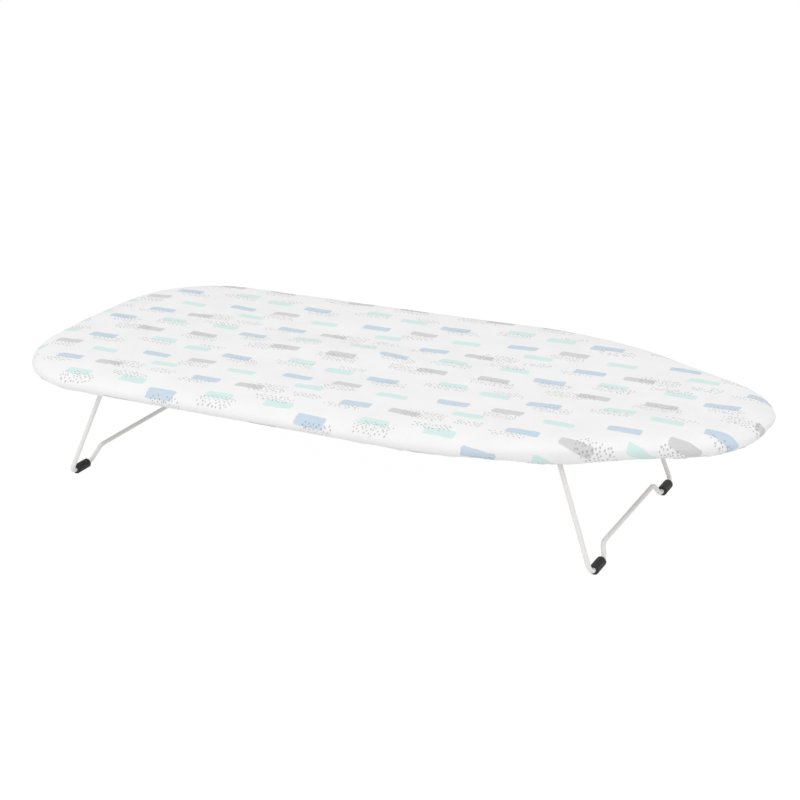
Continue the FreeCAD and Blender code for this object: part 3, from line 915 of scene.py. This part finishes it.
def powder_coat(name, dark, light, roughness, wear):
    """Baked powder paint: faint orange-peel skin, uneven tone and darker rubbed spots."""
    shader = Shader(name)
    place = shader.object_place()
    tone = shader.noise(place, 22, 4)
    base = shader.mix(tone, colour(*dark), colour(*light))
    rubbed = shader.ramp(shader.noise(place, 140, 5, 0.65), 0.70, 0.80)
    base = shader.mix(shader.math("MULTIPLY", rubbed, wear), base, colour(0.42, 0.42, 0.41))
    peel = shader.noise(place, 700, 1)
    rough = shader.ramp(shader.noise(place, 60, 3), 0.3, 0.7, roughness - 0.05, roughness + 0.08)
    return shader.surface(
        Base_Color=base, Roughness=rough, Specular_IOR_Level=0.5, Coat_Weight=0.15,
        Coat_Roughness=0.25, Normal=shader.bump(peel, 0.02 * MM, 0.12),
    )


def dull_aluminium():
    shader = Shader("dull_aluminium")
    place = shader.object_place()
    tone = shader.noise(place, 500, 4)
    base = shader.mix(tone, colour(0.55, 0.55, 0.56), colour(0.78, 0.78, 0.79))
    return shader.surface(
        Base_Color=base, Metallic=1.0, Roughness=shader.ramp(tone, 0.3, 0.7, 0.32, 0.5),
        Normal=shader.bump(tone, 0.05 * MM, 0.4),
    )


def moulded_plastic(name, shade, roughness):
    """Black moulded plastic with a fine grain and faint dust in its tone."""
    shader = Shader(name)
    place = shader.object_place()
    tone = shader.noise(place, 90, 4)
    grain = shader.noise(place, 2600, 2)
    dusty = 2.2 * shade
    base = shader.mix(
        shader.ramp(tone, 0.4, 0.75),
        colour(shade, shade, shade),
        colour(dusty, dusty, 2.25 * shade),
    )
    return shader.surface(
        Base_Color=base, Roughness=shader.ramp(tone, 0.3, 0.7, roughness - 0.06, roughness + 0.06),
        Normal=shader.bump(grain, 0.04 * MM, 0.5),
    )


# ---- finish of the CAD nodes ------------------------------------------------------------

def dress(node, material):
    piece = frame["nodes"][node]
    piece.data.materials.clear()
    piece.data.materials.append(material)


def dress_hard_parts():
    """Gives every CAD node that stays its material, by its slot in the record."""
    leg_tones = (0.82, 0.80, 0.785), (0.86, 0.84, 0.825)
    deck_tones = (0.60, 0.61, 0.62), (0.68, 0.69, 0.70)
    bracket_tones = (0.66, 0.67, 0.67), (0.74, 0.75, 0.75)
    by_slot = {
        "leg_wire_coating": powder_coat("leg_powder_coat", *leg_tones, 0.42, 0.05),
        "deck_steel": powder_coat("deck_powder_coat", *deck_tones, 0.42, 0.25),
        "bracket_steel": powder_coat("bracket_powder_coat", *bracket_tones, 0.38, 0.25),
        "foot_plastic": moulded_plastic("foot_sleeve_black", 0.012, 0.42),
        "cap_plastic": moulded_plastic("wire_cap_black", 0.02, 0.5),
        "rivet_metal": dull_aluminium(),
    }
    for part in frame["record"]["subparts"]:
        if part["material_slot"] in by_slot:
            dress(part["node"], by_slot[part["material_slot"]])


# ---- studio -----------------------------------------------------------------------------

def floor():
    """Pale floor; the camera sees it almost evenly white, with a faint shadow."""
    shader = Shader("studio_floor")
    diffuse = shader.node("ShaderNodeBsdfDiffuse", {"Color": colour(0.86, 0.86, 0.86)})
    glow = shader.node("ShaderNodeEmission", {"Color": colour(1, 1, 1), "Strength": 1.03})
    seen = shader.node("ShaderNodeLightPath").outputs["Is Camera Ray"]
    share = shader.ramp(seen, 0, 1, FLOOR_GLOW, FLOOR_GLOW_SEEN)
    mixed = shader.node(
        "ShaderNodeMixShader", {0: share, 1: diffuse.outputs[0], 2: glow.outputs[0]}
    )
    shader.node("ShaderNodeOutputMaterial", {"Surface": mixed.outputs[0]})
    half = FLOOR_HALF
    corners = [(-half, -half, 0), (half, -half, 0), (half, half, 0), (-half, half, 0)]
    ground = make_object("floor", corners, [(0, 1, 2, 3)], shader.material)


def area_light(name, place, aim, size, power):
    light = bpy.data.lights.new(name, "AREA")
    light.shape = "DISK"
    light.size = size
    light.energy = power
    lamp = bpy.data.objects.new(name, light)
    bpy.context.scene.collection.objects.link(lamp)
    lamp.location = place
    lamp.rotation_mode = "QUATERNION"
    lamp.rotation_quaternion = (Vector(aim) - Vector(place)).to_track_quat("-Z", "Y")


def studio():
    scene = bpy.context.scene
    world = bpy.data.worlds.new("studio_world")
    world.use_nodes = True
    back = world.node_tree.nodes["Background"]
    back.inputs["Color"].default_value = colour(1, 1, 1)
    back.inputs["Strength"].default_value = WORLD_STRENGTH
    scene.world = world
    scene.view_settings.view_transform = "Standard"
    scene.view_settings.look = "None"
    for name, (place, size, power) in LIGHTS.items():
        area_light(name, place, (0, 0, BOARD_TOP), size, power)
    floor()


def camera():
    """Camera at DISTANCE from AIM, rolled about its line of sight."""
    azimuth, elevation = math.radians(AZIMUTH), math.radians(ELEVATION)
    back = Vector((
        math.sin(azimuth) * math.cos(elevation),
        -math.cos(azimuth) * math.cos(elevation),
        math.sin(elevation),
    ))
    data = bpy.data.cameras.new("camera")
    data.sensor_width = 36.0
    data.lens = LENS
    eye = bpy.data.objects.new("camera", data)
    bpy.context.scene.collection.objects.link(eye)
    eye.location = AIM + back * DISTANCE
    look = (-back).to_track_quat("-Z", "Y").to_matrix()
    tilt = math.radians(ROLL)
    right = look.col[0] * math.cos(tilt) + look.col[1] * math.sin(tilt)
    above = look.col[1] * math.cos(tilt) - look.col[0] * math.sin(tilt)
    look.col[0] = right
    look.col[1] = above
    eye.rotation_mode = "QUATERNION"
    eye.rotation_quaternion = look.to_quaternion()
    bpy.context.scene.camera = eye


# ---- all together -----------------------------------------------------------------------

cover = printed_cover(printed_cotton())
elastic_cord(braid_cloth())
hem_binding(plain_cotton("hem_cotton"))
hem_stitching(plain_cotton("stitching_thread"), cover)
foam_pad(foam(), cover)
dress_hard_parts()
studio()
camera()
